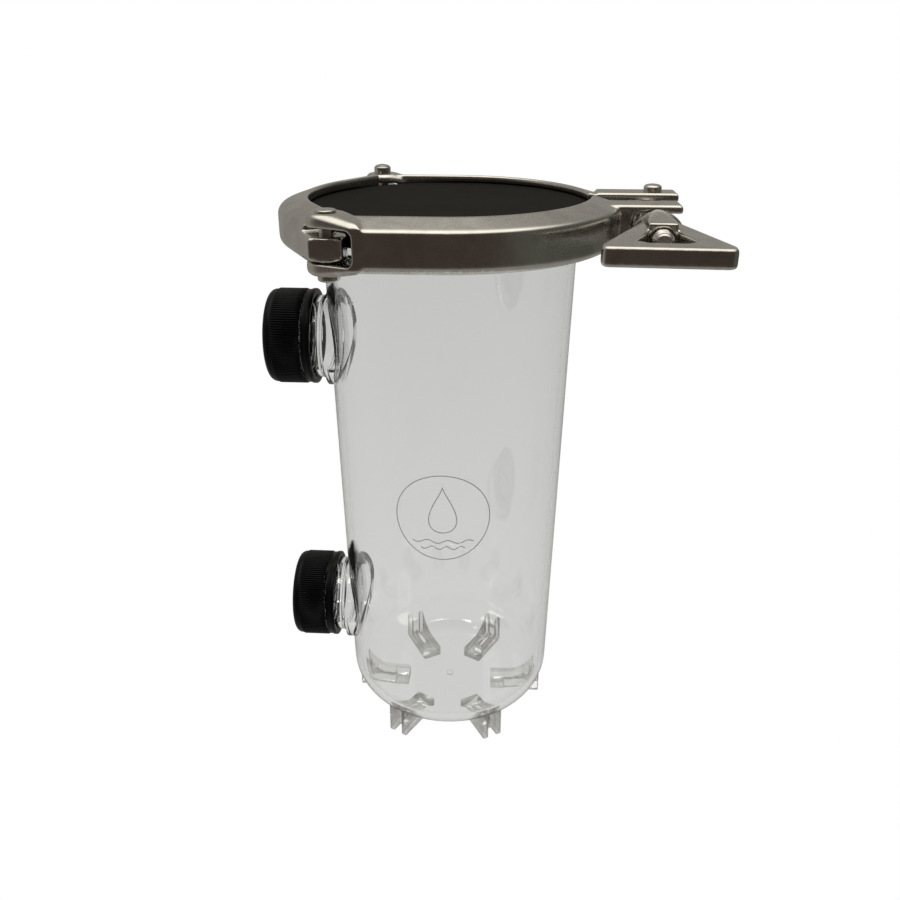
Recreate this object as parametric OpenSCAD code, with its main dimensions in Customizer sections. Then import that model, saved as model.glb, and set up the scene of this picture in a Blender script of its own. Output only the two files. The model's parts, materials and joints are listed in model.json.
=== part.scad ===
// Clear collection jar with a clamped blanking lid and two capped side ports.
//
// Frame: +Z up, origin on the jar's axis at the plane of the feet. The ports point
// along -X, the clamp closes at +X, and its wing nut faces -Y. Millimetres.

/* [Jar] */
// Radius of the wall where it meets the rounded base
base_r = 35.1; // [34:0.1:36]
// Growth of the wall radius for each millimetre of height
draft = 0.0209; // [0.015:0.0005:0.022]
// Thickness of the wall and of the floor
wall = 2.2; // [1.8:0.1:2.6]
// Outer radius of the rounded base corner
corner_r = 13.8; // [12.5:0.1:14.5]
// Height of the underside of the floor over the feet
floor_z = 3.85; // [3:0.05:5]
// Height of the sealing face
face_z = 174.2; // [172:0.1:176]
// Rim radius of the clamped flanges
rim_r = 45.5; // [45.4:0.05:45.6]
// Slope of both clamped flanges, in degrees
flange_slope = 20; // [19.5:0.1:20.5]
// Thickness of each flange at its rim
rim_t = 1.1; // [1:0.05:1.2]
// Radius of the groove that takes the gasket's bead
bead_r = 40.9; // [40.5:0.1:41.2]

/* [Feet] */
// Number of moulded feet
foot_count = 6; // [4:1:8]
// Width of a foot
foot_w = 7; // [6:0.1:8]
// Thickness of each of the two fins of a foot
fin_t = 2; // [1.6:0.1:2.4]
// Radius at which a foot starts
foot_in = 15.4; // [14:0.1:16]
// Radius at which its solid pad ends and its fins start
pad_out = 20.6; // [19:0.1:22]
// Radius at which a foot ends
foot_out = 33.3; // [31:0.1:33.6]

/* [Ports] */
// Height of the lower port's axis
low_port_z = 38.7; // [36:0.1:44]
// Height of the upper port's axis
high_port_z = 136.3; // [120:0.1:140]
// Outer radius of a port's neck
neck_r = 13; // [12.9:0.05:13.1]
// Bore radius of a port
port_bore_r = 10.85; // [10.6:0.05:11]
// Radius of the boss that carries the neck
port_boss_r = 15.4; // [14.8:0.1:16]
// Length of bare neck between the wall and the tamper band
bare_neck = 4.4; // [4:0.1:5]

/* [Caps] */
// Outer radius of a cap over its ribs
cap_r = 15.05; // [14.9:0.05:15.2]
// Length of a cap without its tamper band
cap_len = 11.7; // [11.4:0.1:12]
// Length of a tamper band
band_len = 2.9; // [2.6:0.1:3]
// Gap where the band has broken from the cap
band_gap = 0.3; // [0.2:0.05:0.5]
// Number of grip ribs on a cap
rib_count = 120; // [96:12:132]
// Height of a grip rib
rib_h = 0.3; // [0.2:0.05:0.4]

/* [Clamp] */
// Outer radius of the clamp
clamp_r = 50.5; // [50:0.1:51.5]
// Inner radius of the clamp's lips
lip_r = 41.5; // [41.2:0.1:42]
// Height of the clamp's lips over its middle plane
lip_h = 6.9; // [6.5:0.1:7.2]
// Depth of the clamp's lips under its middle plane
lip_low = 7.3; // [7:0.1:7.6]
// How much the lips rise over the clamp's outer edge
lip_rise = 2.1; // [1.2:0.1:2.4]
// Bearing of the front hinge pin from the closing side, in degrees
front_hinge_az = 125.2; // [123:0.1:127]
// Bearing of the rear hinge pin from the closing side, in degrees
rear_hinge_az = 120.5; // [119:0.1:123]
// Radius of the circle that carries the hinge pins
hinge_pcr = 50.8; // [50:0.1:51]
// Radius of a fork's ears about its hinge pin
fork_r = 5.6; // [5.4:0.1:5.8]
// Radius of a link's eye about its hinge pin
eye_r = 5.2; // [4.6:0.1:5.3]
// Radius of the hinge pins and of the swing bolt's pin
pin_r = 2; // [1.8:0.05:2.2]
// Radial running clearance of the pins and of the nut
running = 0.05; // [0.03:0.01:0.09]

/* [Closing bolt] */
// Distance of the swing bolt's pin from the jar's axis
bolt_x = 60.8; // [60:0.1:61.2]
// Lean of the tightened bolt towards the jar, in degrees
bolt_lean = 4.2; // [0:0.1:4.4]
// Distance of the bolt's pin from the closing plane
bolt_pin_y = 10.5; // [10:0.1:11]
// Radius of the swing bolt
bolt_r = 3; // [2.8:0.05:3]
// Length of the swing bolt from its pin to its end
bolt_len = 50.5; // [49:0.5:52]
// Half of the gap between the closed arms
arm_gap = 6; // [5.5:0.1:6.5]
// Width of a closing ear
ear_w = 9; // [8.5:0.1:9.5]
// Reach of the front ear from the jar's axis
front_ear_x = 66; // [65:0.1:66.5]
// Reach of the rear ear from the jar's axis
rear_ear_x = 68.2; // [67.5:0.1:69]
// Slack between the front ear and the nut's washer
washer_slack = 1.2; // [1.1:0.05:1.6]

/* [Wing nut] */
// Reach of the wing from the bolt's pin
wing_end = 66.7; // [62:0.1:68]
// Length of the bar at the end of the wing's loop
bar_len = 32.4; // [30:0.1:34]
// Thickness of the loop
wing_t = 5.2; // [4.4:0.1:5.4]
// Angle at which the nut has come to rest, in degrees
nut_angle = -0.4; // [-3:0.1:3]

/* [Hidden] */

$fn = 96;
tiny = 0.02;

// Gasket, lid and clamp stack
gasket_t = 1.6;
gasket_in = 37.2;
gasket_skirt = [rim_r + 0.06, rim_r + 0.64];
skirt_half = 1.55;
bead_section_r = 1;
bead_slack = 0.05;
mid_z = face_z + gasket_t / 2;
lid_z = face_z + gasket_t;
lid_flat_r = 42.5;
groove_slack = 0.1;
groove_r = rim_r + 0.8;

// Jar outline
corner_ro = base_r - corner_r;
corner_z = floor_z + corner_r;
neck_under_r = 40;
inner_top_r = wall_r(face_z) - wall;

// Hinges: heights of forks and eyes are from the clamp's middle plane
shoulder = 6.3;
link_pin_r = 45.7;
link_turn = acos(link_pin_r / hinge_pcr);
link_run = hinge_pcr * sin(link_turn) - shoulder;
link_arc = 360 - front_hinge_az - rear_hinge_az - 2 * link_turn;
link_lap = 1;
link_drop = 0.5;
rear_drop = 1.3;
front_fork_high = 7.6;
rear_fork_high = 5.8;
fork_low = 8.3;
fork_edge = 1;
slot_low = 4.8;
slot_high = 4.2;
slot_edge = 1.6;
front_reach = 7.6;
rear_reach = 6;
eye_low = 4.5;
eye_high = 1.9;
link_crown = 2.6;
arm_crown = 1.3;

// Closing ears
ear_half = 5.6;
ear_slot_half = 3.2;
ear_web_x = 52.5;
ear_root_x = 44;
edge = 0.6;

// Closing screw: distances along the bolt are from its pin
washer_r = 4.7;
washer_t = 1;
washer_at = bolt_pin_y + arm_gap + ear_w + washer_slack;
nut_at = washer_at + washer_t + 0.05;
flange_shift = 3;
flange_t = 2.4;
hub_r = 4.7;
hub_len = 17.7;
web_half = 3.8;
web_h = 4.4;
loop_at = nut_at + 4;
window_at = nut_at + hub_len;
bar_depth = 6.2;

// Threaded ends of the ports
bead_ring_r = 13.75;
thread_root_r = 12.5;
cap_top_t = 1.5;
liner_t = 0.8;
liner_r = 13.1;
cap_bore_r = 13.9;
cap_start = bare_neck + band_len + band_gap;
neck_len = cap_start + cap_len - cap_top_t - liner_t - 2 * tiny;

// Colours
clear_plastic = [0.85, 0.88, 0.88, 0.35];
black_plastic = [0.06, 0.06, 0.06];
black_rubber = [0.1, 0.1, 0.1];
cast_steel = [0.62, 0.6, 0.57];
turned_steel = [0.72, 0.7, 0.67];

// Outer radius of the jar's wall at height z
function wall_r(z) = base_r + draft * (z - corner_z);

// Points of an arc about [x, y] from angle a to angle b
function arc(x, y, r, a, b, steps = 8) =
    [for (i = [0 : steps]) [x + r * cos(a + (b - a) * i / steps), y + r * sin(a + (b - a) * i / steps)]];

// Outline of a rectangle between two corners, with round corners of radius r
function rounded(low, high, r) = concat(
    arc(low[0] + r, low[1] + r, r, 180, 270, 4), arc(high[0] - r, low[1] + r, r, 270, 360, 4),
    arc(high[0] - r, high[1] - r, r, 0, 90, 4), arc(low[0] + r, high[1] - r, r, 90, 180, 4));

// Half height of the clamp's groove at radius r
function groove_half(r) = gasket_t / 2 + rim_t + groove_slack + (rim_r - r) * tan(flange_slope);

// ---------- Jar ----------

module jar_outline() {
    polygon(concat(
        [[0, floor_z]],
        arc(corner_ro, corner_z, corner_r, -90, 0, 16),
        [[wall_r(166.5), 166.5]],
        arc(wall_r(166.5) + 3, 166.5, 3, 180, 180 - 65, 6),
        [[neck_under_r, face_z - rim_t - (rim_r - neck_under_r) * tan(flange_slope)]],
        [[rim_r, face_z - rim_t], [rim_r, face_z], [0, face_z]]
    ));
}

module jar_cavity() {
    inner_r = corner_r - wall;
    rotate_extrude()
        polygon(concat(
            [[0, floor_z + wall]],
            arc(corner_ro, corner_z, inner_r, -90, 0, 16),
            [[inner_top_r, face_z + 1], [0, face_z + 1]]
        ));
}

// Profile of a port's boss and neck, with x along the radius and y outward from the wall
module neck_outline() {
    fillet = port_boss_r - neck_r;
    polygon(concat(
        [[0, -12], [port_boss_r, -12]],
        arc(port_boss_r, 0.5 + fillet, fillet, -90, -180, 6),
        [[neck_r, bare_neck + 0.9]],
        [[bead_ring_r, bare_neck + 1.3], [bead_ring_r, bare_neck + 2.1], [thread_root_r, bare_neck + 2.6]],
        [[thread_root_r, neck_len - 0.6], [thread_root_r - 0.5, neck_len], [0, neck_len]]
    ));
}

// Places a port's parts: local z runs outward from the wall
module at_port(z) {
    translate([-wall_r(z), 0, z])
        rotate([0, -90, 0])
            children();
}

module foot() {
    translate([foot_in, -foot_w / 2, 0])
        cube([pad_out - foot_in, foot_w, corner_z / 2]);
    for (side = [-1, 1])
        translate([foot_in, side * (foot_w - fin_t) / 2 - fin_t / 2, 0])
            cube([foot_out - foot_in, fin_t, corner_z - 5.5]);
    // Recessed web between the fins
    translate([foot_out - 4.5, -foot_w / 2 + 0.5, 2.6])
        cube([2.8, foot_w - 1, corner_z - 10]);
}

module bead_groove(z, grow) {
    translate([0, 0, z])
        rotate_extrude()
            translate([bead_r, 0])
                circle(r = bead_section_r + grow, $fn = 48);
}

module jar_body() {
    color(clear_plastic)
        difference() {
            union() {
                rotate_extrude()
                    jar_outline();
                for (i = [0 : foot_count - 1])
                    rotate([0, 0, i * 360 / foot_count])
                        foot();
                for (z = [low_port_z, high_port_z])
                    at_port(z)
                        rotate_extrude()
                            neck_outline();
            }
            jar_cavity();
            for (z = [low_port_z, high_port_z])
                at_port(z)
                    translate([0, 0, -20])
                        cylinder(r = port_bore_r, h = 20 + neck_len + 1);
            bead_groove(face_z, bead_slack);
        }
}

// ---------- Closure ----------

module lid_gasket() {
    color(black_rubber)
        union() {
            translate([0, 0, face_z + tiny])
                difference() {
                    cylinder(r = gasket_skirt[1], h = gasket_t - 2 * tiny);
                    translate([0, 0, -1])
                        cylinder(r = gasket_in, h = gasket_t + 2);
                }
            // Skirt over the rims of both flanges
            translate([0, 0, mid_z - skirt_half])
                difference() {
                    cylinder(r = gasket_skirt[1], h = 2 * skirt_half);
                    translate([0, 0, -1])
                        cylinder(r = gasket_skirt[0], h = 2 * skirt_half + 2);
                }
            bead_groove(face_z + tiny, -tiny);
            bead_groove(lid_z - tiny, -tiny);
        }
}

module lid_disc() {
    slope_h = (rim_r - lid_flat_r) * tan(flange_slope);
    color(black_plastic)
        difference() {
            rotate_extrude()
                polygon([
                    [0, lid_z], [rim_r, lid_z], [rim_r, lid_z + rim_t],
                    [lid_flat_r, lid_z + rim_t + slope_h], [0, lid_z + rim_t + slope_h]
                ]);
            bead_groove(lid_z, bead_slack);
        }
}

// ---------- Clamp ----------

// Radial section of the clamp, solid: crown rounds its upper outer edge, drop lowers its top
module clamp_section(crown, drop = 0) {
    lip_edge = 0.7;
    top = lip_h - drop;
    top_slope = atan(lip_rise / (clamp_r - lip_r));
    polygon(concat(
        [[lip_r, -lip_low + lip_edge], [lip_r + lip_edge, -lip_low]],
        [[clamp_r - 2.4, -lip_low + 0.5], [clamp_r - 0.5, -lip_low + 1.8], [clamp_r, -lip_low + 2.5]],
        arc(clamp_r - crown, top - lip_rise - crown, crown, 0, 90 - top_slope, 6),
        arc(lip_r + lip_edge, top - lip_edge, lip_edge, 90 - top_slope, 180, 4)
    ));
}

// Groove that takes the two flanges
module flange_groove() {
    mouth_r = lip_r - 2;
    translate([0, 0, mid_z])
        rotate_extrude()
            polygon([
                [mouth_r, -groove_half(mouth_r)], [groove_r, -groove_half(groove_r)],
                [groove_r, groove_half(groove_r)], [mouth_r, groove_half(mouth_r)]
            ]);
}

// Upright bore or pin space at bearing az on the hinge circle
module hinge_bore(az) {
    translate([hinge_pcr * cos(az), hinge_pcr * sin(az), mid_z - 15])
        cylinder(r = pin_r + running, h = 30);
}

// Straight end of the middle link towards the hinge at bearing -az, with the eye on it
module link_end(az) {
    rotate([0, 0, -az - link_turn]) {
        translate([0, 0, mid_z])
            rotate([90, 0, 0])
                mirror([0, 0, 1])
                    linear_extrude(height = link_run)
                        clamp_section(link_crown, link_drop);
        translate([link_pin_r, link_run - 1, mid_z - eye_low]) {
            translate([-eye_r, 0, 0])
                cube([2 * eye_r, shoulder + 1, eye_low + eye_high]);
            translate([0, shoulder + 1, 0])
                cylinder(r = eye_r, h = eye_low + eye_high);
        }
    }
}

module clamp_middle_link() {
    color(cast_steel)
        difference() {
            union() {
                translate([0, 0, mid_z])
                    rotate([0, 0, rear_hinge_az + link_turn - link_lap])
                        rotate_extrude(angle = link_arc + 2 * link_lap)
                            clamp_section(link_crown, link_drop);
                link_end(front_hinge_az);
                mirror([0, 1, 0])
                    link_end(rear_hinge_az);
            }
            flange_groove();
            hinge_bore(-front_hinge_az);
            hinge_bore(rear_hinge_az);
        }
}

// Convex block of a fork about the hinge pin at bearing -az, with eased edges
module fork_block(az, high, slot_reach) {
    pin_x = hinge_pcr * cos(az);
    hull()
        for (inset = [0, fork_edge])
            translate([0, 0, mid_z - fork_low + fork_edge - inset]) {
                h = fork_low + high - 2 * (fork_edge - inset);
                translate([pin_x, -hinge_pcr * sin(az), 0])
                    cylinder(r = fork_r - inset, h = h, $fn = 32);
                translate([pin_x + slot_reach - 0.5, -clamp_r + inset, 1.6])
                    cube([3 - inset, clamp_r - lip_r - inset, h - 3.2]);
            }
}

// Pair of plates that the swing bolt passes, reaching out to x = tip
module closing_ear(tip) {
    difference() {
        hull()
            for (inset = [0, edge])
                translate([ear_root_x, -arm_gap - ear_w + inset, mid_z - ear_half + edge - inset])
                    cube([tip - ear_root_x - inset, ear_w - 2 * inset, 2 * (ear_half - edge + inset)]);
        translate([ear_web_x, -arm_gap - ear_w - 1, mid_z - ear_slot_half])
            cube([tip, ear_w + 2, 2 * ear_slot_half]);
    }
}

// An arm on the -Y side: ring, straight run, fork at bearing -az and closing ear
module clamp_arm(tip, az, drop, high, slot_reach) {
    slot_x = hinge_pcr * cos(az) + slot_reach;
    slot_h = slot_low + slot_high - drop;
    difference() {
        union() {
            translate([0, 0, mid_z]) {
                rotate([0, 0, -90])
                    rotate_extrude(angle = 84)
                        clamp_section(arm_crown, drop);
                translate([1, 0, 0])
                    rotate([90, 0, -90])
                        linear_extrude(height = 2 - slot_x)
                            clamp_section(arm_crown, drop);
            }
            fork_block(az, high, slot_reach);
            closing_ear(tip);
        }
        flange_groove();
        // Slot of the fork
        translate([slot_x - 30, -10, mid_z - slot_low])
            rotate([90, 0, 0])
                linear_extrude(height = 60)
                    polygon(rounded([0, 0], [30, slot_h], slot_edge));
        // Gap at the closing plane
        translate([0, -arm_gap, mid_z - 20])
            cube([80, 40, 40]);
        hinge_bore(-az);
    }
}

module clamp_front_arm() {
    color(cast_steel)
        clamp_arm(front_ear_x, front_hinge_az, 0, front_fork_high, front_reach);
}

module clamp_rear_arm() {
    color(cast_steel)
        difference() {
            mirror([0, 1, 0])
                clamp_arm(rear_ear_x, rear_hinge_az, rear_drop, rear_fork_high, rear_reach);
            translate([bolt_x, bolt_pin_y, mid_z - 15])
                cylinder(r = pin_r + running, h = 30);
        }
}

// Pin through a stack from low to high, with a domed head above and a peened head below
module headed_pin(low, high, head_r, head_h, foot_r, foot_h) {
    dome = head_h / 2;
    rotate_extrude()
        polygon(concat(
            [[0, low - foot_h], [foot_r * 0.75, low - foot_h], [foot_r, low - foot_h / 2]],
            [[foot_r, low - tiny], [pin_r, low - tiny], [pin_r, high + tiny]],
            [[head_r, high + tiny], [head_r, high + dome]],
            [for (a = [15 : 15 : 90]) [head_r * cos(a), high + dome + dome * sin(a)]]
        ));
}

module hinge_pin(az, high, head_h) {
    color(turned_steel)
        translate([hinge_pcr * cos(az), hinge_pcr * sin(az), mid_z])
            headed_pin(-fork_low, high, 2.8, head_h, 3, 2);
}

// ---------- Closing screw ----------

// Places parts of the closing screw: local z runs from the pin towards the bolt's end
module along_bolt(distance) {
    translate([bolt_x, bolt_pin_y, mid_z])
        rotate([90, 0, -bolt_lean])
            translate([0, 0, distance])
                children();
}

module swing_bolt() {
    tip = 0.8;
    color(turned_steel)
        difference() {
            union() {
                translate([bolt_x, bolt_pin_y, mid_z - ear_slot_half + 0.2])
                    cylinder(r = 5, h = 2 * ear_slot_half - 0.4);
                along_bolt(0)
                    cylinder(r = bolt_r, h = bolt_len - tip);
                along_bolt(bolt_len - tip)
                    cylinder(r1 = bolt_r, r2 = bolt_r - tip, h = tip);
            }
            translate([bolt_x, bolt_pin_y, mid_z - 15])
                cylinder(r = pin_r + running, h = 30);
        }
}

module swing_bolt_pin() {
    color(turned_steel)
        translate([bolt_x, bolt_pin_y, mid_z])
            headed_pin(-ear_half, ear_half, 2.7, 2.2, 2.8, 1.4);
}

module nut_washer() {
    color(turned_steel)
        along_bolt(washer_at)
            difference() {
                cylinder(r = washer_r, h = washer_t);
                translate([0, 0, -1])
                    cylinder(r = bolt_r + running, h = washer_t + 2);
            }
}

// Corners of the wing's loop, with x across the bolt and y back towards its pin
module loop_corners(inset) {
    corner = 1.8;
    bar_x = bar_len / 2 - corner;
    for (side = [-1, 1]) {
        translate([side * 2.9, -loop_at])
            circle(r = corner - inset, $fn = 24);
        for (y = [corner - wing_end, corner + 2 - wing_end])
            translate([side * bar_x, y])
                circle(r = corner - inset, $fn = 24);
    }
}

module loop_window() {
    back = -window_at;
    front = bar_depth - wing_end;
    polygon([[-3.6, back], [3.6, back], [7.8, front + 3], [4.6, front], [-4.6, front], [-7.8, front + 3]]);
}

// Front of the hub at the window
module web_block(inset) {
    cube([2 * (web_half - inset), 1 + 2 * (edge - inset), 2 * (web_h - inset)], center = true);
}

module wing_nut() {
    color(cast_steel)
        translate([bolt_x, bolt_pin_y, mid_z])
            rotate([0, 0, -bolt_lean])
                rotate([0, nut_angle, 0])
                    difference() {
                        union() {
                            hull()
                                for (inset = [0, edge])
                                    linear_extrude(height = wing_t - 2 * edge + 2 * inset, center = true)
                                        loop_corners(inset);
                            // Hub, round at the washer and flat-topped at the window
                            hull() {
                                rotate([90, 0, 0])
                                    translate([0, 0, nut_at])
                                        cylinder(r = hub_r, h = flange_t);
                                for (inset = [0, edge])
                                    translate([0, 0.5 + edge - inset - window_at, 0])
                                        web_block(inset);
                            }
                            rotate([90, 0, 0])
                                translate([0, 0, nut_at]) {
                                    // Oval flange, as tall as the hub and wider than it
                                    intersection_for(side = [-1, 1])
                                        translate([0, side * flange_shift, 0])
                                            cylinder(r = hub_r + flange_shift, h = flange_t);
                                }
                        }
                        linear_extrude(height = 20, center = true)
                            loop_window();
                        rotate([90, 0, 0])
                            translate([0, 0, nut_at - 1])
                                cylinder(r = bolt_r + running, h = hub_len + 2);
                    }
}

// ---------- Caps ----------

// Fluted outline of a cap's skirt
module rib_outline() {
    step = 360 / rib_count;
    root = cap_r - rib_h;
    polygon([
        for (i = [0 : rib_count - 1])
            for (corner = [[0.05, root], [0.3, cap_r], [0.7, cap_r], [0.95, root]])
                corner[1] * [cos((i + corner[0]) * step), sin((i + corner[0]) * step)]
    ]);
}

module port_cap(z) {
    root = cap_r - rib_h;
    smooth = 2.4;
    color(black_plastic)
        at_port(z)
            translate([0, 0, cap_start])
                difference() {
                    union() {
                        linear_extrude(height = cap_len - smooth)
                            rib_outline();
                        rotate_extrude()
                            polygon(concat(
                                [[0, 0.4], [root, 0.4], [root, cap_len - 2]],
                                arc(root - 2, cap_len - 2, 2, 0, 90, 6),
                                [[0, cap_len]]
                            ));
                    }
                    translate([0, 0, -1])
                        cylinder(r = cap_bore_r, h = cap_len - cap_top_t + 1);
                }
}

module cap_liner(z) {
    color(clear_plastic)
        at_port(z)
            translate([0, 0, neck_len + tiny])
                cylinder(r = liner_r, h = liner_t);
}

module tamper_band(z) {
    color(black_plastic)
        at_port(z)
            translate([0, 0, bare_neck])
                rotate_extrude()
                    polygon([
                        [neck_r + 0.15, 0.2], [neck_r + 0.15, 0.7],
                        [cap_bore_r, 1.2], [cap_bore_r, band_len], [cap_r - 0.25, band_len],
                        [cap_r - 0.25, 1.6], [cap_r, 1.2], [cap_r, 0.4], [cap_r - 0.5, 0]
                    ]);
}

jar_body();
lid_gasket();
lid_disc();
clamp_middle_link();
clamp_front_arm();
clamp_rear_arm();
hinge_pin(-front_hinge_az, front_fork_high, 0.8);  // hinge_pin_front
hinge_pin(rear_hinge_az, rear_fork_high, 2.9);  // hinge_pin_rear
swing_bolt();
swing_bolt_pin();
nut_washer();
wing_nut();
port_cap(high_port_z);  // upper_port_cap
cap_liner(high_port_z);  // upper_cap_liner
tamper_band(high_port_z);  // upper_tamper_band
port_cap(low_port_z);  // lower_port_cap
cap_liner(low_port_z);  // lower_cap_liner
tamper_band(low_port_z);  // lower_tamper_band
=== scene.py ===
"""Visual model of a clear collection jar with a clamped lid and two capped side ports.

Shapes are built in millimetres, in the CAD model's frame, and scaled to metres when they are finished.
"""

import json
import math

import bmesh
import bpy
from mathutils import Matrix, Vector


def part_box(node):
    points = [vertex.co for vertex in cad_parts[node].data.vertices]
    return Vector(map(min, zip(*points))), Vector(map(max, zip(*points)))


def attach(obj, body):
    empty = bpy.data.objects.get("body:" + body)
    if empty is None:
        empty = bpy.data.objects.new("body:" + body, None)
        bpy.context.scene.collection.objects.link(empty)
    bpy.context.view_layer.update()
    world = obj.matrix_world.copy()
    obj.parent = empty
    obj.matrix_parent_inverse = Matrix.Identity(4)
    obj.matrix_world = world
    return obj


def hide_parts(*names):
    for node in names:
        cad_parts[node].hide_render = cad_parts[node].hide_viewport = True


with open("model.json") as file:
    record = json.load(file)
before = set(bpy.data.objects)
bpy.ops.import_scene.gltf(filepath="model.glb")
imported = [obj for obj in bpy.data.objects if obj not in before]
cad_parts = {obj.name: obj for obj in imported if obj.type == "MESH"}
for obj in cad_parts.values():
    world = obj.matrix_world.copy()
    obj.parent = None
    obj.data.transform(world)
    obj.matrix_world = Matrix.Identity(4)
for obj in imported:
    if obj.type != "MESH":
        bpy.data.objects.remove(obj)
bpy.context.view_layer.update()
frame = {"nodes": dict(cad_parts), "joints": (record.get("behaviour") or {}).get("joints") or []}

MM = 0.001
JOINTS = {joint["name"]: joint for joint in frame["joints"]}


def pivot(name):
    """A hinge's place in millimetres."""
    return Vector(JOINTS[name]["pos_m"]) / MM


def box_mm(node):
    """Lowest and highest corner of a CAD node in millimetres."""
    low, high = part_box(node)
    return low / MM, high / MM


# ---------- Driving sizes, in millimetres ----------

# Jar: its flange, with the groove for the gasket's bead, its tapered wall and its round-cornered floor,
# and the number of facets round them.
FACE_Z = box_mm("jar_body")[1].z
RIM_R = box_mm("jar_body")[1].y
FLANGE_SLOPE = math.radians(20)
RIM_T = 1.1
RIM_EDGE = 0.3
BEAD_R = 40.9
BEAD_GROOVE_R = 1.05
BASE_R = 35.1
DRAFT = 0.0209
WALL = 2.2
WALL_STATIONS = (60, 100, 140)
CORNER_R = 13.8
FLOOR_Z = 3.85
CORNER_Z = FLOOR_Z + CORNER_R
TURN_STEPS = 256

# Feet: radii where the pad and the fins begin and end.
FOOT_COUNT = 6
FOOT_W = 7.0
FIN_T = 2.0
FOOT_IN, PAD_OUT, FOOT_OUT = 15.4, 20.6, 33.3

# Side ports: lengths run outward from the wall.
NECK_R = 13.0
BORE_R = 10.85
BOSS_R = 15.4
BARE_NECK = 4.4
BAND_LEN = 2.9
BAND_GAP = 0.3
BEAD_RING_R = 13.75
THREAD_ROOT_R = 12.5
THREAD_TOP_R = 13.65
PORT_PITCH = 2.7

# Port caps: a ribbed skirt, and a top over a liner that rests on the neck's end.
CAP_BORE_R = 13.9
CAP_LEN = 11.7
CAP_TOP = 1.5
LINER_T = 0.8
LINER_GAP = 0.04
CAP_R = (box_mm("upper_port_cap")[1].y - box_mm("upper_port_cap")[0].y) / 2
CAP_START = BARE_NECK + BAND_LEN + BAND_GAP
NECK_LEN = CAP_START + CAP_LEN - CAP_TOP - LINER_T - LINER_GAP
RIB_COUNT = 120
RIB_H = 0.3
PORT_HEIGHTS = {"upper": pivot("upper_cap_turn").z, "lower": pivot("lower_cap_turn").z}

# Clamp: its swing bolt, pins and the height of its middle.
BOLT_R = 3.0
BOLT_PITCH = 1.0
EYE_R = 5.0
PIN_R = 2.0
MID_Z = pivot("front_arm_hinge").z
BOLT_AXIS = Vector(JOINTS["nut_turn"]["axis"]).normalized()


def wall_r(z):
    """Outer radius of the jar's wall at height z."""
    return BASE_R + DRAFT * (z - CORNER_Z)


def arc(x, y, r, start, end, steps=8):
    """Points of an arc about (x, y), with its angles in degrees."""
    angles = [math.radians(start + (end - start) * i / steps) for i in range(steps + 1)]
    return [(x + r * math.cos(a), y + r * math.sin(a)) for a in angles]


def smoothstep(low, high, value):
    """0 below low, 1 above high, and an even curve between."""
    share = min(1.0, max(0.0, (value - low) / (high - low)))
    return share * share * (3 - 2 * share)


# ---------- Mesh helpers ----------

def revolve(profile, segments=128, relief=None, ring=False):
    """Closed solid of revolution about Z. profile is a list of (radius, z), from the axis to the axis,
    or with ring=True a loop clear of it. relief(angle, r, z) is added to each point's radius."""
    mesh = bmesh.new()
    stations = []
    for r, z in profile:
        if r < 1e-6:
            stations.append([mesh.verts.new((0, 0, z))])
            continue
        loop = []
        for i in range(segments):
            angle = 2 * math.pi * i / segments
            radius = r + (relief(angle, r, z) if relief else 0.0)
            loop.append(mesh.verts.new((radius * math.cos(angle), radius * math.sin(angle), z)))
        stations.append(loop)
    pairs = list(zip(stations, stations[1:]))
    if ring:
        pairs.append((stations[-1], stations[0]))
    for a, b in pairs:
        for i in range(segments):
            j = (i + 1) % segments
            corners = [a[i % len(a)], a[j % len(a)], b[j % len(b)], b[i % len(b)]]
            mesh.faces.new(list(dict.fromkeys(corners)))
    bmesh.ops.recalc_face_normals(mesh, faces=mesh.faces)
    return mesh


def block(low, high, bevel=0.0, segments=2):
    """Box between two corners, with its edges rounded."""
    mesh = bmesh.new()
    low, high = Vector(low), Vector(high)
    middle = Matrix.Translation((low + high) / 2)
    size = Matrix.Diagonal((*(high - low), 1.0))
    bmesh.ops.create_cube(mesh, size=1.0, matrix=middle @ size)
    if bevel > 0:
        bmesh.ops.bevel(mesh, geom=mesh.edges, offset=bevel, segments=segments, profile=0.5, affect="EDGES")
    return mesh


def new_object(name, mesh, matrix=Matrix.Identity(4)):
    """Object in millimetres from a bmesh, which is freed."""
    data = bpy.data.meshes.new(name)
    mesh.transform(matrix)
    mesh.to_mesh(data)
    mesh.free()
    piece = bpy.data.objects.new(name, data)
    bpy.context.scene.collection.objects.link(piece)
    return piece


def bake(piece):
    """Applies the piece's modifiers."""
    graph = bpy.context.evaluated_depsgraph_get()
    old = piece.data
    piece.data = bpy.data.meshes.new_from_object(piece.evaluated_get(graph))
    piece.modifiers.clear()
    bpy.data.meshes.remove(old)


def combine(piece, tool, operation):
    """Boolean of piece with tool, which is used up."""
    cut = piece.modifiers.new("cut", "BOOLEAN")
    cut.operation = operation
    cut.solver = "MANIFOLD"
    cut.object = tool
    bake(piece)
    bpy.data.objects.remove(tool)


def finish(piece, body, material, replaced=(), sharp=30.0):
    """Scales a piece to metres, shades it smooth but for its sharp edges and hands it to its body."""
    piece.data.transform(Matrix.Scale(MM, 4))
    piece.data.shade_smooth()
    piece.data.set_sharp_from_angle(angle=math.radians(sharp))
    piece.data.materials.clear()
    piece.data.materials.append(material)
    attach(piece, body)
    if replaced:
        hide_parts(*replaced)


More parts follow.
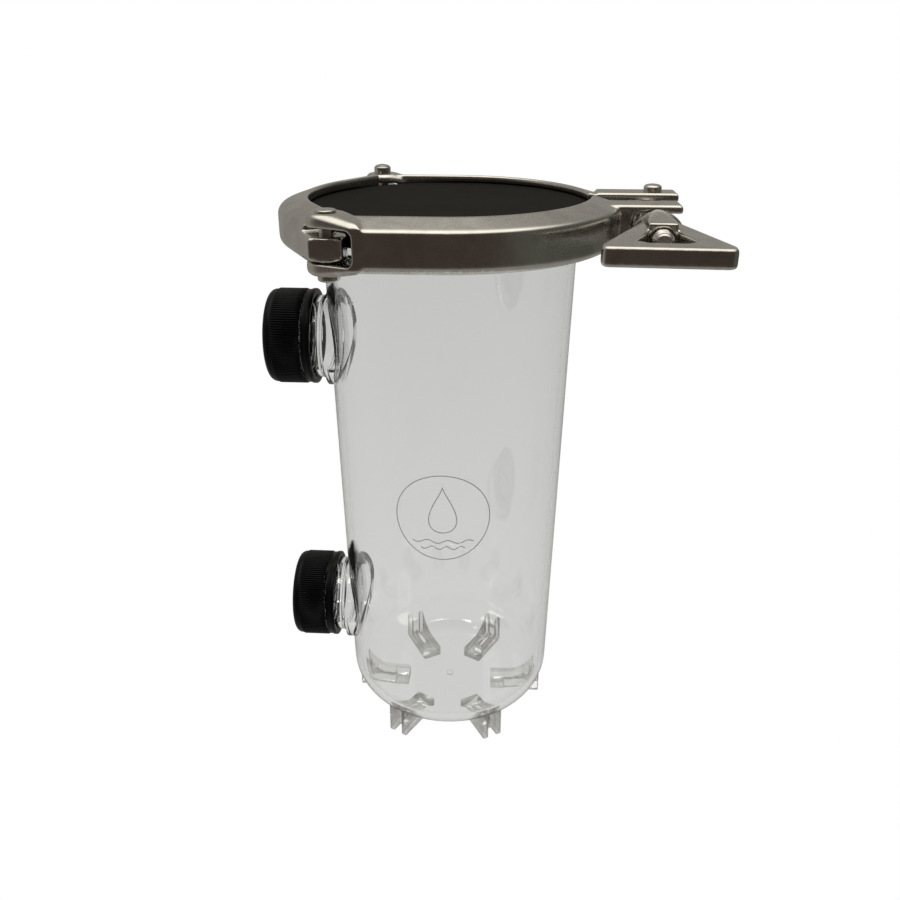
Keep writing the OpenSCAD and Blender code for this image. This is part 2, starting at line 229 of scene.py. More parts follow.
def cast(name, node, body, voxel, passes, swellings=()):
    """A casting with soft worn edges, made from a CAD node's own shape and swellings of it, which are rounded
    blocks given by their lowest and highest corners. The remesh melts them into one skin."""
    mesh = bmesh.new()
    mesh.from_mesh(frame["nodes"][node].data)
    mesh.transform(Matrix.Scale(1 / MM, 4))
    bmesh.ops.remove_doubles(mesh, verts=mesh.verts, dist=1e-3)
    for low, high in swellings:
        swelling = block(low, high, SWELLING_EDGE, 4)
        data = bpy.data.meshes.new("swelling")
        swelling.to_mesh(data)
        swelling.free()
        mesh.from_mesh(data)
        bpy.data.meshes.remove(data)
    piece = new_object(name, mesh)
    remesh = piece.modifiers.new("skin", "REMESH")
    remesh.mode = "VOXEL"
    remesh.voxel_size = voxel
    soften = piece.modifiers.new("soften", "SMOOTH")
    soften.factor = 0.5
    soften.iterations = passes
    bake(piece)
    finish(piece, body, CAST, [node], sharp=180.0)


# ---------- Shader helpers ----------

class Graph:
    """Builds a node tree in few words."""

    def __init__(self, tree):
        self.tree = tree
        tree.nodes.clear()

    def set(self, socket, value):
        if isinstance(value, bpy.types.NodeSocket):
            self.tree.links.new(value, socket)
        elif value is not None:
            socket.default_value = value

    def node(self, kind, inputs=(), **settings):
        """A node with its settings and its inputs, given by name or by number."""
        made = self.tree.nodes.new("ShaderNode" + kind)
        for key, value in settings.items():
            setattr(made, key, value)
        for key, value in dict(inputs).items():
            self.set(made.inputs[key], value)
        return made

    def math(self, operation, *values):
        return self.node("Math", enumerate(values), operation=operation).outputs[0]

    def spread(self, value, low, high, to_low=0.0, to_high=1.0, smooth=False):
        """value mapped from the range low to high onto another range, and held at its ends."""
        made = self.node("MapRange", {0: value, 1: low, 2: high, 3: to_low, 4: to_high})
        made.interpolation_type = "SMOOTHSTEP" if smooth else "LINEAR"
        return made.outputs[0]

    def mix(self, share, a, b):
        """Colour between a and b."""
        made = self.node("Mix", data_type="RGBA")
        for key, value in ((0, share), (6, a), (7, b)):
            self.set(made.inputs[key], value)
        return made.outputs[2]

    def noise(self, scale, detail=3.0, rough=0.5, place=None, distortion=0.0):
        made = self.node("TexNoise", {"Scale": scale, "Detail": detail, "Roughness": rough,
                                      "Distortion": distortion, "Vector": place})
        return made.outputs["Fac"]

    def stretched(self, place, x, y, z):
        """place with its axes scaled, which draws a pattern out along the least scaled one."""
        return self.node("VectorMath", {0: place, 1: (x, y, z)}, operation="MULTIPLY").outputs["Vector"]

    def bump(self, height, distance, strength=1.0, normal=None):
        made = self.node("Bump", {"Height": height, "Distance": distance, "Strength": strength})
        self.set(made.inputs["Normal"], normal)
        return made.outputs["Normal"]


def material(name, build):
    """Material whose surface is what build(graph, place) returns; place is the point in metres."""
    made = bpy.data.materials.new(name)
    made.use_nodes = True
    graph = Graph(made.node_tree)
    place = graph.node("TexCoord").outputs["Object"]
    surface = build(graph, place)
    output = graph.node("OutputMaterial")
    graph.set(output.inputs["Surface"], surface)
    return made


def grey(value):
    return (value, value, value, 1.0)


# ---------- Materials ----------

def clear_plastic(graph, place):
    """Clear moulded plastic: slow waves from moulding, fine handling scratches, a trace of grey."""
    waves = graph.noise(45.0, 1.5, 0.4, graph.stretched(place, 1.0, 1.0, 0.35))
    scratches = graph.noise(900.0, 2.0, 0.6, graph.stretched(place, 1.0, 1.0, 0.12), 0.6)
    haze = graph.spread(scratches, 0.55, 0.8, 0.0, 0.05)
    tint = graph.mix(graph.noise(30.0, 2.0), (0.955, 0.962, 0.955, 1.0), (0.968, 0.972, 0.965, 1.0))
    normal = graph.bump(waves, 0.00006, 0.6)
    return graph.node("BsdfPrincipled", {
        "Base Color": tint, "Roughness": haze, "IOR": 1.57, "Transmission Weight": 1.0, "Normal": normal,
    }).outputs[0]


def foot_plastic(graph, place):
    """The same plastic in thin moulded fins, seen through without refraction: grey along its edges, where one
    looks through most of it, as painted shade for the dark that refraction shows there.
    """
    facing = graph.node("LayerWeight", {"Blend": 0.5}).outputs["Facing"]
    cloud = graph.noise(260.0, 3.0, 0.6, place)
    # Painted shade: the see-through colour darkens to grey as the fins are seen edge-on, in place of the dark
    # that refraction shows there.
    depth = graph.math("ADD", facing, graph.spread(cloud, 0.3, 0.7, -0.08, 0.08))
    tint = graph.mix(graph.spread(depth, 0.25, 0.95), (0.972, 0.967, 0.96, 1.0), (0.72, 0.71, 0.695, 1.0))
    clear = graph.node("BsdfTransparent", {"Color": tint}).outputs[0]
    gloss = graph.node("BsdfGlossy", {"Color": grey(1.0), "Roughness": 0.12,
                                      "Normal": graph.bump(cloud, 0.00008, 0.6)}).outputs[0]
    share = graph.math("MULTIPLY", graph.node("Fresnel", {"IOR": 1.5}).outputs[0], 0.8)
    return graph.node("MixShader", {0: share, 1: clear, 2: gloss}).outputs[0]


def etched_plastic(graph, place):
    """Frosted line: the clear plastic roughened by a fine tool."""
    grain = graph.noise(6000.0, 2.0, 0.6, place)
    colour = graph.mix(grain, (0.30, 0.31, 0.30, 1.0), (0.46, 0.47, 0.46, 1.0))
    return graph.node("BsdfPrincipled", {
        "Base Color": colour, "Roughness": graph.spread(grain, 0.3, 0.7, 0.45, 0.7), "IOR": 1.5,
        "Transmission Weight": 0.35, "Normal": graph.bump(grain, 0.00002),
    }).outputs[0]


def cast_steel(graph, place):
    """Tumbled cast stainless steel: soft grain, slow unevenness, rubbed edges and light scratches."""
    grain = graph.noise(2600.0, 3.0, 0.65, place)
    lumps = graph.noise(160.0, 3.0, 0.55, place, 0.4)
    scratch = graph.noise(420.0, 2.0, 0.5, graph.stretched(place, 0.15, 0.15, 4.0), 1.2)
    worn = graph.spread(graph.node("NewGeometry").outputs["Pointiness"], 0.5, 0.56)
    colour = graph.mix(graph.spread(lumps, 0.35, 0.65), (0.50, 0.475, 0.44, 1.0), (0.60, 0.58, 0.545, 1.0))
    colour = graph.mix(worn, colour, (0.72, 0.70, 0.66, 1.0))
    rough = graph.spread(grain, 0.3, 0.7, 0.19, 0.29)
    rough = graph.math("SUBTRACT", rough, graph.math("MULTIPLY", worn, 0.06))
    normal = graph.bump(lumps, 0.00008, 0.5)
    normal = graph.bump(grain, 0.000005, 0.5, normal)
    normal = graph.bump(graph.spread(scratch, 0.62, 0.8), 0.000008, 0.5, normal)
    return graph.node("BsdfPrincipled", {
        "Base Color": colour, "Metallic": 1.0, "Roughness": rough, "Normal": normal,
    }).outputs[0]


def turned_steel(graph, place):
    """Turned stainless steel, with fine tool marks."""
    marks = graph.noise(3000.0, 2.0, 0.5, graph.stretched(place, 0.3, 0.3, 1.0))
    stain = graph.noise(240.0, 3.0, 0.6, place)
    colour = graph.mix(stain, (0.52, 0.50, 0.47, 1.0), (0.66, 0.64, 0.61, 1.0))
    normal = graph.bump(marks, 0.000010, 0.6)
    normal = graph.bump(stain, 0.00004, 0.5, normal)
    return graph.node("BsdfPrincipled", {
        "Base Color": colour, "Metallic": 1.0, "Roughness": graph.spread(marks, 0.3, 0.7, 0.16, 0.3),
        "Normal": normal,
    }).outputs[0]


def black_plastic(shade, rough, specular, speck):
    """Black moulded plastic or rubber, with the mould's fine texture; speck is how much dust shows on it."""
    def build(graph, place):
        mould = graph.noise(1500.0, 3.0, 0.6, place)
        patches = graph.noise(60.0, 2.0, 0.5, place)
        dust = graph.spread(graph.noise(2200.0, 1.0, 0.5, place), 0.74, 0.8, 0.0, speck)
        dark, light = (tuple(factor * c for c in shade) + (1.0,) for factor in (0.8, 1.2))
        base = graph.mix(patches, dark, light)
        return graph.node("BsdfPrincipled", {
            "Base Color": graph.mix(dust, base, grey(0.16)),
            "Roughness": graph.spread(mould, 0.3, 0.7, *rough),
            "Specular IOR Level": specular,
            "Normal": graph.bump(mould, 0.000012, 0.5),
        }).outputs[0]
    return build


def soft_foam(graph, place):
    """Pressed pale foam of the cap liners."""
    cells = graph.noise(3500.0, 2.0, 0.6, place)
    return graph.node("BsdfPrincipled", {
        "Base Color": graph.mix(cells, (0.62, 0.62, 0.60, 1.0), (0.80, 0.80, 0.77, 1.0)),
        "Roughness": 0.75, "Normal": graph.bump(cells, 0.00004),
    }).outputs[0]


CLEAR = material("clear_plastic", clear_plastic)
FOOT_CLEAR = material("foot_plastic", foot_plastic)
ETCHED = material("etched_line", etched_plastic)
CAST = material("cast_steel", cast_steel)
TURNED = material("turned_steel", turned_steel)
LID_BLACK = material("lid_black", black_plastic(
    (0.0062, 0.0056, 0.0050), rough=(0.6, 0.7), specular=0.02, speck=0.06))
CAP_BLACK = material("cap_black", black_plastic(
    (0.0016, 0.0018, 0.0021), rough=(0.26, 0.36), specular=0.12, speck=0.0))
RUBBER = material("black_rubber", black_plastic(
    (0.004, 0.004, 0.004), rough=(0.6, 0.8), specular=0.05, speck=0.1))
FOAM = material("liner_foam", soft_foam)


# ---------- Jar ----------

def jar_outer():
    """Outside of the jar, from the middle of its floor to the middle of its mouth."""
    under_r = 40.0
    shoulder_z = 166.5
    bend_r = 3
    under_z = FACE_Z - RIM_T - (RIM_R - under_r) * math.tan(FLANGE_SLOPE)
    bend = arc(wall_r(shoulder_z) + bend_r, shoulder_z, bend_r, 180, 115, 8)
    rim = (arc(RIM_R - RIM_EDGE, FACE_Z - RIM_T + RIM_EDGE, RIM_EDGE, -70, 0, 4)
           + arc(RIM_R - RIM_EDGE, FACE_Z - RIM_EDGE, RIM_EDGE, 0, 90, 4))
    groove = arc(BEAD_R, FACE_Z, BEAD_GROOVE_R, 0, -180, 12)
    wall = [(wall_r(z), z) for z in (CORNER_Z + 0.6, *WALL_STATIONS, shoulder_z - 0.6)]
    corner = arc(BASE_R - CORNER_R, CORNER_Z, CORNER_R, -90, 0, 28)
    return ([(0, FLOOR_Z)] + corner + wall + bend + [(under_r, under_z)] + rim + groove + [(0, FACE_Z)])


def jar_inner():
    """Space inside the jar."""
    top_z = FACE_Z + 2
    corner = arc(BASE_R - CORNER_R, CORNER_Z, CORNER_R - WALL, -90, 0, 28)
    wall = [(wall_r(z) - WALL, z) for z in (CORNER_Z + 0.6, *WALL_STATIONS, top_z)]
    return [(0, FLOOR_Z + WALL)] + corner + wall + [(0, top_z)]


def port_place(height):
    """A port's own frame: local z runs outward from the wall."""
    return Matrix.Translation((-wall_r(height), 0, height)) @ Matrix.Rotation(math.radians(-90), 4, "Y")


def thread(angle, z, pitch, half_width):
    """Height of a right-handed thread's ridge, from 0 to 1."""
    phase = (z / pitch - angle / (2 * math.pi)) % 1.0
    return 1.0 - smoothstep(0.35 * half_width, half_width, abs(phase - 0.5) * pitch)


def neck_relief(angle, r, z):
    """Thread on the neck, which rises and fades away over its first and last part of a turn."""
    start = BARE_NECK + 3.2
    if abs(r - THREAD_ROOT_R) > 0.01 or z < start:
        return 0.0
    window = smoothstep(start, start + 1.2, z) * (1 - smoothstep(NECK_LEN - 2.2, NECK_LEN - 1.0, z))
    return (THREAD_TOP_R - THREAD_ROOT_R) * window * thread(angle, z, PORT_PITCH, 0.75)


def neck_profile():
    """Boss, bare neck, bead and threaded end of a port."""
    fillet = BOSS_R - NECK_R
    sunk = 12
    start = BARE_NECK + 2.6
    steps = 56
    span = NECK_LEN - 0.7 - start
    threaded = [(THREAD_ROOT_R, start + span * i / steps) for i in range(steps + 1)]
    boss = [(0, -sunk), (BOSS_R - 0.02, -sunk), (BOSS_R, 0.1)]
    bend = arc(BOSS_R, 0.5 + fillet, fillet, -90, -180, 10)
    ring = [(NECK_R, BARE_NECK + 0.9), (BEAD_RING_R - 0.1, BARE_NECK + 1.25), (BEAD_RING_R, BARE_NECK + 1.4),
            (BEAD_RING_R, BARE_NECK + 2.0), (BEAD_RING_R - 0.15, BARE_NECK + 2.2)]
    end = arc(THREAD_ROOT_R - 0.6, NECK_LEN - 0.6, 0.6, 0, 90, 4)
    return boss + bend + [(NECK_R, BARE_NECK)] + ring + threaded + end + [(0, NECK_LEN)]


def foot():
    """A moulded foot: a pad, two fins and the recessed web between them."""
    pad = new_object("foot", block((FOOT_IN, -FOOT_W / 2, 0), (PAD_OUT, FOOT_W / 2, CORNER_Z / 2), 0.25))
    half = (FOOT_W - FIN_T) / 2
    fin_top, web_top = CORNER_Z - 5.5, CORNER_Z - 7.4
    for side in (-1, 1):
        fin = block((FOOT_IN + 0.01, side * half - FIN_T / 2, 0.01),
                    (FOOT_OUT, side * half + FIN_T / 2, fin_top), 0.45, 3)
        combine(pad, new_object("fin", fin), "UNION")
    web = block((FOOT_OUT - 4.5, -half, 2.6), (FOOT_OUT - 1.7, half, web_top), 0.2)
    combine(pad, new_object("web", web), "UNION")
    return pad


def feet():
    """The ring of feet, each cut off where it meets the jar's underside."""
    for i in range(FOOT_COUNT):
        piece = foot()
        piece.name = f"foot_{i + 1}"
        combine(piece, new_object("jar_space", revolve(jar_outer(), TURN_STEPS)), "DIFFERENCE")
        piece.data.transform(Matrix.Rotation(2 * math.pi * i / FOOT_COUNT, 4, "Z"))
        finish(piece, "jar", FOOT_CLEAR, sharp=24.0)


def jar():
    """The clear moulding: wall, flange, a gate mark under its floor, two bored necks and its cavity."""
    body = new_object("jar", revolve(jar_outer(), TURN_STEPS))
    gate_r = 1.3
    gate = revolve([(0, FLOOR_Z - 0.4), (gate_r - 0.2, FLOOR_Z - 0.4), (gate_r, FLOOR_Z - 0.2),
                    (gate_r, FLOOR_Z + 0.5), (0, FLOOR_Z + 0.5)], 48)
    combine(body, new_object("gate", gate), "UNION")
    for height in PORT_HEIGHTS.values():
        neck = revolve(neck_profile(), 144, neck_relief)
        combine(body, new_object("neck", neck, port_place(height)), "UNION")
    combine(body, new_object("cavity", revolve(jar_inner(), TURN_STEPS)), "DIFFERENCE")
    inward = 20
    for height in PORT_HEIGHTS.values():
        bore = revolve([(0, -inward), (BORE_R, -inward), (BORE_R, NECK_LEN - 0.4),
                        (BORE_R + 0.5, NECK_LEN + 0.1), (BORE_R + 0.5, NECK_LEN + 1),
                        (0, NECK_LEN + 1)], 144)
        combine(body, new_object("bore", bore, port_place(height)), "DIFFERENCE")
    finish(body, "jar", CLEAR, ["jar_body"], sharp=24.0)


# ---------- Etched mark ----------

# Centre height and radius of the mark, and its line's width, height and depth into the wall.
MARK_Z = 91.4
MARK_R = 14.5
LINE_W = 0.30
LINE_T = 0.07
LINE_ROOT = 0.02


def ribbon(mesh, path, loop=False):
    """Thin raised line along path, a list of (across, up) on the jar's front, in millimetres."""
    count = len(path)
    rings = []
    for i, here in enumerate(path):
        before = path[(i - 1) % count] if loop or i else here
        after = path[(i + 1) % count] if loop or i < count - 1 else here
        along = Vector((after[0] - before[0], after[1] - before[1])).normalized()
        side = Vector((-along.y, along.x)) * LINE_W / 2
        ring = []
        for sign, lift in ((-1, -LINE_ROOT), (1, -LINE_ROOT), (1, LINE_T), (-1, LINE_T)):
            across, up = here[0] + sign * side.x, here[1] + sign * side.y
            radius = wall_r(MARK_Z + up) + lift
            angle = -math.pi / 2 + across / wall_r(MARK_Z)
            ring.append(mesh.verts.new((radius * math.cos(angle), radius * math.sin(angle), MARK_Z + up)))
        rings.append(ring)
    pairs = list(zip(rings, rings[1:])) + ([(rings[-1], rings[0])] if loop else [])
    for a, b in pairs:
        for k in range(4):
            mesh.faces.new((a[k], a[(k + 1) % 4], b[(k + 1) % 4], b[k]))
    if not loop:
        mesh.faces.new(rings[0])
        mesh.faces.new(list(reversed(rings[-1])))


def drop_outline():
    """Outline of a drop, pointed at the top and a little above the ring's centre."""
    size, steps, rise = 6.2, 72, 1.8
    points = []
    for i in range(steps):
        t = 2 * math.pi * i / steps
        across = size * math.sin(t) * math.sin(t / 2) ** 1.6
        points.append((across, size * (1.25 * math.cos(t) + 0.15) + rise))
    return points


def wave(y, half_length):
    """A ripple of three waves, centred at height y."""
    steps, height, waves = 48, 0.55, 3
    xs = [-half_length + 2 * half_length * i / steps for i in range(steps + 1)]
    return [(x, y + height * math.sin(waves * math.pi * x / half_length)) for x in xs]


def etched_mark():
    """A plain ring with a drop over two ripples: a generic sign for a vessel of liquid."""
    mesh = bmesh.new()
    ribbon(mesh, arc(0, 0, MARK_R, 0, 360, 144)[:-1], loop=True)
    ribbon(mesh, drop_outline(), loop=True)
    for y, half_length in ((-8.2, 9.5), (-10.4, 6.8)):
        ribbon(mesh, wave(y, half_length))
    bmesh.ops.recalc_face_normals(mesh, faces=mesh.faces)
    finish(new_object("etched_mark", mesh), "jar", ETCHED)


# ---------- Lid ----------

def lid():
    """Flat disc with a sloped flange, and a groove below for the gasket's bead."""
    flat_r = 42.5
    top_edge = 0.6
    bottom, top = (corner.z for corner in box_mm("lid_disc"))
    groove = arc(BEAD_R, bottom, BEAD_GROOVE_R, 180, 0, 10)
    profile = ([(0, bottom)] + groove
               + arc(RIM_R - RIM_EDGE, bottom + RIM_EDGE, RIM_EDGE, -90, 0, 4)
               + arc(RIM_R - RIM_EDGE, bottom + RIM_T - 0.1, RIM_EDGE, 0, 65, 4)
               + arc(flat_r, top - top_edge, top_edge, 70, 90, 4)
               + [(flat_r - 0.4, top), (0, top)])
    finish(new_object("lid", revolve(profile, 192)), "jar", LID_BLACK, ["lid_disc"], sharp=35.0)


def gasket_shade_film():
    """Thin black film folded under the jar's flange, drawn as the edge of the gasket's skirt and as painted
    shade: it darkens the clear flange inside the clamp's groove, where the groove shades it.
    """
    inner_r = 41.0
    film, gap = 0.07, 0.01
    rim_z = FACE_Z - RIM_T
    inner_z = rim_z - (RIM_R - inner_r) * math.tan(FLANGE_SLOPE)
    start_z = rim_z + 0.4
    outer_r = RIM_R + gap
    profile = [(outer_r, start_z), (outer_r + film, start_z), (outer_r + film, rim_z - gap - film),
               (inner_r, inner_z - gap - film), (inner_r, inner_z - gap), (outer_r, rim_z - gap)]
    finish(new_object("gasket_shade_film", revolve(profile, 192, ring=True)), "jar", RUBBER)


# ---------- Pins and bolt ----------

def pin(name, node, body, hinge, head, foot):
    """Headed pin on a hinge's axis, between a node's lowest and highest point, peened below. head and foot
    are each a (radius, height)."""
    head_r, head_h = head
    foot_r, foot_h = foot
    low, high = box_mm(node)
    place = pivot(hinge)
    dome = head_h * 0.25
    edge = min(0.5, head_h * 0.4)
    peen_r = 0.7
    neck_z = high.z - head_h
    crown = [(head_r - edge) * step / 8 for step in range(8, 0, -1)]
    profile = ([(0, low.z), (foot_r * 0.55, low.z + 0.05)]
               + arc(foot_r - peen_r, low.z + peen_r + 0.1, peen_r, -80, 0, 5)
               + [(foot_r, low.z + foot_h), (PIN_R, low.z + foot_h + 0.02), (PIN_R, neck_z), (head_r, neck_z)]
               + arc(head_r - edge, high.z - dome - edge, edge, 0, 75, 6)
               + [(r, high.z - dome * (r / head_r) ** 2) for r in crown]
               + [(0, high.z)])
    mesh = revolve(profile, 64)
    finish(new_object(name, mesh, Matrix.Translation((place.x, place.y, 0))), body, TURNED,
           [node], sharp=40.0)


def bolt_place():
    """The bolt's own frame: local z runs from its pin towards its free end."""
    across = Vector((0, 0, 1)).cross(BOLT_AXIS)
    turn = Matrix((across, Vector((0, 0, 1)), BOLT_AXIS)).transposed().to_4x4()
    return Matrix.Translation(pivot("nut_turn")) @ turn


def bolt_length():
    """Distance from the bolt's pin to its free end. The bolt's lowest y is at the edge of its end face, whose
    radius is a share of the shank's."""
    end_share = 0.73
    reach = pivot("nut_turn").y - box_mm("swing_bolt")[0].y
    return (reach - BOLT_R * abs(BOLT_AXIS.x) * end_share) / abs(BOLT_AXIS.y)


def bolt_relief(angle, r, z):
    """The bolt's thread, cut into its shank beyond the eye."""
    depth = 0.32
    start = 7.0
    if z < start or r < BOLT_R - 0.01:
        return 0.0
    phase = (z / BOLT_PITCH - angle / (2 * math.pi)) % 1.0
    return -depth * abs(2 * phase - 1)


def swing_bolt():
    """Threaded rod with a bored eye: the rod is cut clear of the bore before the eye is joined to it."""
    length = bolt_length()
    start, tip = 0.5, 1.2
    steps = int((length - tip) / (BOLT_PITCH / 8))
    shank = [(BOLT_R, start + (length - tip - start) * i / steps) for i in range(steps + 1)]
    profile = ([(0, 0)] + [(BOLT_R, 0.0)] + shank
               + [(BOLT_R - 0.35, length - 0.45), (BOLT_R - 0.72, length - 0.05), (BOLT_R - 0.8, length)]
               + [(BOLT_R - 1.0, length + 0.005), (0.4, length + 0.02), (0, length + 0.02)])
    rod = new_object("swing_bolt_rod", revolve(profile, 40, bolt_relief), bolt_place())
    half = 3.0
    edge = 0.5
    eye_bore_r = PIN_R + 0.05
    barrel = ([(eye_bore_r, -half), (EYE_R - edge, -half)] + arc(EYE_R - edge, -half + edge, edge, -80, 0, 4)
              + arc(EYE_R - edge, half - edge, edge, 0, 90, 5) + [(eye_bore_r, half)])
    place = Matrix.Translation(pivot("nut_turn"))
    clear_r, clear_half = 3.5, 9
    clearance = revolve([(0, -clear_half), (clear_r, -clear_half), (clear_r, clear_half),
                         (0, clear_half)], 48)
    combine(rod, new_object("bore", clearance, place), "DIFFERENCE")
    combine(rod, new_object("eye", revolve(barrel, 72, ring=True), place), "UNION")
    finish(rod, "swing_bolt", TURNED, ["swing_bolt"], sharp=35.0)


# ---------- Caps ----------

def cap(which):
    """Ribbed screw cap, with a smooth rounded top and a thread inside."""
    height = PORT_HEIGHTS[which]
    root = CAP_R - RIB_H
    smooth = 2.4
    thread_h = 0.95
    inner_top = CAP_START + CAP_LEN - CAP_TOP
    end = CAP_START + CAP_LEN

    def relief(angle, r, z):
        if r > root - 0.01:
            rise = smoothstep(CAP_START + 0.02, CAP_START + 0.3, z)
            fall = 1 - smoothstep(end - smooth - 0.6, end - smooth, z)
            share = (angle * RIB_COUNT / (2 * math.pi)) % 1.0
            return RIB_H * rise * fall * smoothstep(0.06, 0.24, share) * (1 - smoothstep(0.70, 0.90, share))
        if abs(r - CAP_BORE_R) < 0.01 and CAP_START + 0.5 < z < inner_top - 0.5:
            rise = smoothstep(CAP_START + 0.5, CAP_START + 1.7, z)
            fall = 1 - smoothstep(inner_top - 2.2, inner_top - 0.9, z)
            return -thread_h * rise * fall * thread(angle, z + PORT_PITCH / 2, PORT_PITCH, 0.7)
        return 0.0

    lifts = [0.0, 0.1, 0.2, 0.35, 2.0, 4.5, CAP_LEN - smooth - 0.6, CAP_LEN - smooth - 0.3, CAP_LEN - smooth]
    skirt = [(root, CAP_START + lift) for lift in lifts]
    crown_r = 2
    crown = arc(root - crown_r, end - crown_r, crown_r, 0, 90, 10)
    steps = 44
    span = inner_top - 0.2 - CAP_START
    bore = [(CAP_BORE_R, inner_top - 0.1 - span * i / steps) for i in range(steps + 1)]
    profile = skirt + crown + [(0, end), (0, inner_top)] + [(CAP_BORE_R - 0.1, inner_top)] + bore
    facets_per_rib = 6
    solid = revolve_cup(profile, RIB_COUNT * facets_per_rib, relief)
    piece = new_object(f"{which}_cap", solid, port_place(height))
    finish(piece, f"{which}_cap", CAP_BLACK, [f"{which}_port_cap"], sharp=60.0)


def revolve_cup(profile, segments, relief):
    """Closed cup: the profile touches the axis over its closed end only, and meets itself at its edge."""
    split = next(i for i, (r, _) in enumerate(profile) if r < 1e-6)
    around = profile[split + 1:] + profile[:split + 1]
    return revolve(around, segments, relief)


def tamper_band(which):
    """Band left on the neck, with the stubs of the bridges that held it to the cap."""
    height = PORT_HEIGHTS[which]
    start = BARE_NECK
    outer = ([(NECK_R + 0.15, 0.25), (NECK_R + 0.15, 0.7), (CAP_BORE_R, 1.2), (CAP_BORE_R, BAND_LEN - 0.05),
              (CAP_R - 0.3, BAND_LEN - 0.05), (CAP_R - 0.25, 1.75)]
             + arc(CAP_R - 0.35, 1.25, 0.35, 40, 0, 4) + arc(CAP_R - 0.35, 0.45, 0.35, 0, -60, 4)
             + [(CAP_R - 0.9, 0.02)])
    band = new_object(f"{which}_band", revolve([(r, start + z) for r, z in outer], 144, ring=True),
                      port_place(height))
    bridges, first, half_w = 10, 0.35, 0.45
    for i in range(bridges):
        spin = Matrix.Rotation(2 * math.pi * (i + first) / bridges, 4, "Z")
        stub = block((CAP_BORE_R + 0.1, -half_w, start + BAND_LEN - 0.3),
                     (CAP_R - 0.4, half_w, start + BAND_LEN + BAND_GAP - 0.06), 0.08, 1)
        combine(band, new_object("stub", stub, port_place(height) @ spin), "UNION")
    finish(band, "jar", CAP_BLACK, [f"{which}_tamper_band"], sharp=40.0)


# ---------- Pieces that keep their CAD shape ----------

def dress(node, material_used):
    """Keeps a CAD node's own shape and gives it its finish."""
    piece = frame["nodes"][node]
    piece.data.materials.clear()
    piece.data.materials.append(material_used)


# ---------- Clamp's middle link ----------

# Radius of the swellings' edges.
SWELLING_EDGE = 1.3


def eye_swellings():
    """Squared fronts of the middle link's two eyes, clear of the flanges behind them."""
    half, behind, below, above = 4.8, 1.0, 4.5, 1.9
    blocks = []
    for side, name in ((-1, "front_arm_hinge"), (1, "rear_arm_hinge")):
        centre = pivot(name)
        ys = sorted((centre.y + side * half, centre.y - side * behind))
        blocks.append((Vector((centre.x - half, ys[0], MID_Z - below)),
                       Vector((centre.x + half, ys[1], MID_Z + above))))
    return blocks


# ---------- Assembly ----------

jar()
feet()
etched_mark()
lid()
gasket_shade_film()
cast("middle_link", "clamp_middle_link", "jar", voxel=0.3, passes=22, swellings=eye_swellings())
cast("front_arm", "clamp_front_arm", "front_arm", voxel=0.3, passes=26)
cast("rear_arm", "clamp_rear_arm", "rear_arm", voxel=0.3, passes=24)
cast("wing_nut_casting", "wing_nut", "wing_nut", voxel=0.25, passes=30)
pin("front_hinge_pin", "hinge_pin_front", "jar", "front_arm_hinge", head=(2.8, 0.8), foot=(3.0, 2.0))
pin("rear_hinge_pin", "hinge_pin_rear", "jar", "rear_arm_hinge", head=(2.8, 2.9), foot=(3.0, 2.0))
pin("bolt_pin", "swing_bolt_pin", "rear_arm", "swing_bolt_hinge", head=(2.7, 2.2), foot=(2.8, 1.4))
swing_bolt()
for side in PORT_HEIGHTS:
    cap(side)
    tamper_band(side)
dress("lid_gasket", RUBBER)
dress("nut_washer", TURNED)
dress("upper_cap_liner", FOAM)
dress("lower_cap_liner", FOAM)


# ---------- Studio ----------

# Light that the steel and the plastic mirror, from each side of a plain room.
ROOM_BEHIND = (0.33, 0.32, 0.295, 1.0)
ROOM_IN_FRONT = (0.066, 0.050, 0.042, 1.0)
ROOM_RIGHT = (0.105, 0.11, 0.095, 1.0)
ROOM_BELOW = (0.34, 0.33, 0.31, 1.0)
ROOM_ABOVE = (1.75, 1.70, 1.56, 1.0)

# Light seen through the clear plastic, towards the floor and level with it.
THROUGH_BELOW = (0.70, 0.70, 0.69, 1.0)
THROUGH_LEVEL = (0.56, 0.56, 0.55, 1.0)

WARM_WHITE = (1.0, 0.98, 0.94)

# Camera: its place in metres, tilt and pan in degrees, and lens and sensor in millimetres.
CAMERA_PLACE = (0.0165, -0.26974, 0.22299)
CAMERA_TILT = 65.04
CAMERA_PAN = 3.5
CAMERA_LENS = 35.51
CAMERA_SENSOR = 36.0

# Floor: how far it lies below the feet, and half its side, in millimetres.
FLOOR_DROP = 0.2
FLOOR_HALF = 1500.0


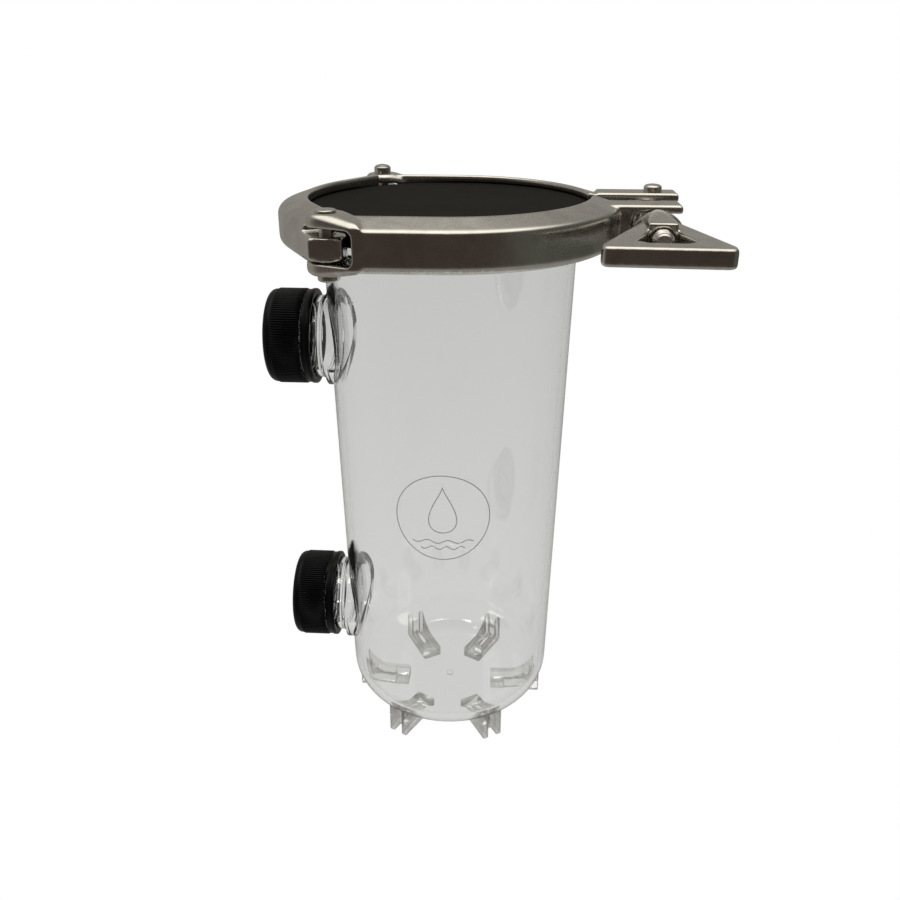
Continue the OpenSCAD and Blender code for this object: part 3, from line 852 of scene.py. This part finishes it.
def studio_world():
    """White backdrop for the camera, a plain room for reflections, and soft grey through clear plastic."""
    world = bpy.data.worlds.new("studio")
    bpy.context.scene.world = world
    world.use_nodes = True
    graph = Graph(world.node_tree)
    ray = graph.node("LightPath").outputs
    direction = graph.node("TexCoord").outputs["Generated"]
    axes = graph.node("SeparateXYZ", {0: direction}).outputs
    towards_front = graph.spread(graph.math("MULTIPLY", axes["Y"], -1.0), 0.05, 0.75, smooth=True)
    towards_right = graph.spread(axes["X"], 0.35, 0.95, smooth=True)
    overhead = graph.spread(axes["Z"], 0.62, 0.97, smooth=True)
    underfoot = graph.spread(axes["Z"], -0.35, -0.85, smooth=True)
    room = graph.mix(towards_front, ROOM_BEHIND, ROOM_IN_FRONT)
    room = graph.mix(towards_right, room, ROOM_RIGHT)
    room = graph.mix(underfoot, room, ROOM_BELOW)
    room = graph.mix(overhead, room, ROOM_ABOVE)
    through = graph.mix(graph.spread(axes["Z"], -0.55, 0.0), THROUGH_BELOW, THROUGH_LEVEL)
    seen = graph.mix(ray["Is Transmission Ray"], room, through)
    seen = graph.mix(ray["Is Camera Ray"], seen, grey(1.0))
    graph.set(graph.node("OutputWorld").inputs["Surface"],
              graph.node("Background", {"Color": seen, "Strength": 1.0}).outputs[0])


def floor_surface(graph, place):
    return graph.node("Emission", {"Color": grey(1.0), "Strength": 1.0}).outputs[0]


def floor():
    """Plain pale floor, just under the feet, which neither reflections nor the clear plastic show."""
    mesh = bmesh.new()
    bmesh.ops.create_grid(mesh, x_segments=1, y_segments=1, size=FLOOR_HALF)
    plane = new_object("floor", mesh, Matrix.Translation((0, 0, -FLOOR_DROP)))
    plane.data.transform(Matrix.Scale(MM, 4))
    plane.data.materials.append(material("pale_floor", floor_surface))
    plane.visible_glossy = False
    plane.visible_transmission = False


def softbox(name, place, aim, size, power):
    """Soft panel of light at a place, turned towards a point."""
    data = bpy.data.lights.new(name, "AREA")
    data.shape = "RECTANGLE"
    data.size, data.size_y = size
    data.energy = power
    data.color = WARM_WHITE
    light = bpy.data.objects.new(name, data)
    bpy.context.scene.collection.objects.link(light)
    light.location = place
    light.visible_glossy = False
    light.rotation_euler = (Vector(aim) - Vector(place)).to_track_quat("-Z", "Y").to_euler()


def camera():
    """Camera a little above the lid, looking down at the jar."""
    data = bpy.data.cameras.new("camera")
    data.sensor_width = CAMERA_SENSOR
    data.lens = CAMERA_LENS
    data.clip_start = 0.01
    view = bpy.data.objects.new("camera", data)
    bpy.context.scene.collection.objects.link(view)
    view.location = CAMERA_PLACE
    view.rotation_euler = (math.radians(CAMERA_TILT), 0.0, math.radians(CAMERA_PAN))
    bpy.context.scene.camera = view


studio_world()
floor()
softbox("overhead", place=(0.0, -0.12, 0.75), aim=(0, 0, 0.15), size=(0.5, 0.4), power=6.0)
softbox("left_panel", place=(-0.6, -0.35, 0.35), aim=(0, 0, 0.1), size=(0.3, 0.6), power=1.4)
softbox("right_panel", place=(0.65, -0.25, 0.35), aim=(0, 0, 0.1), size=(0.25, 0.6), power=0.8)
camera()
bpy.context.scene.view_settings.view_transform = "Standard"
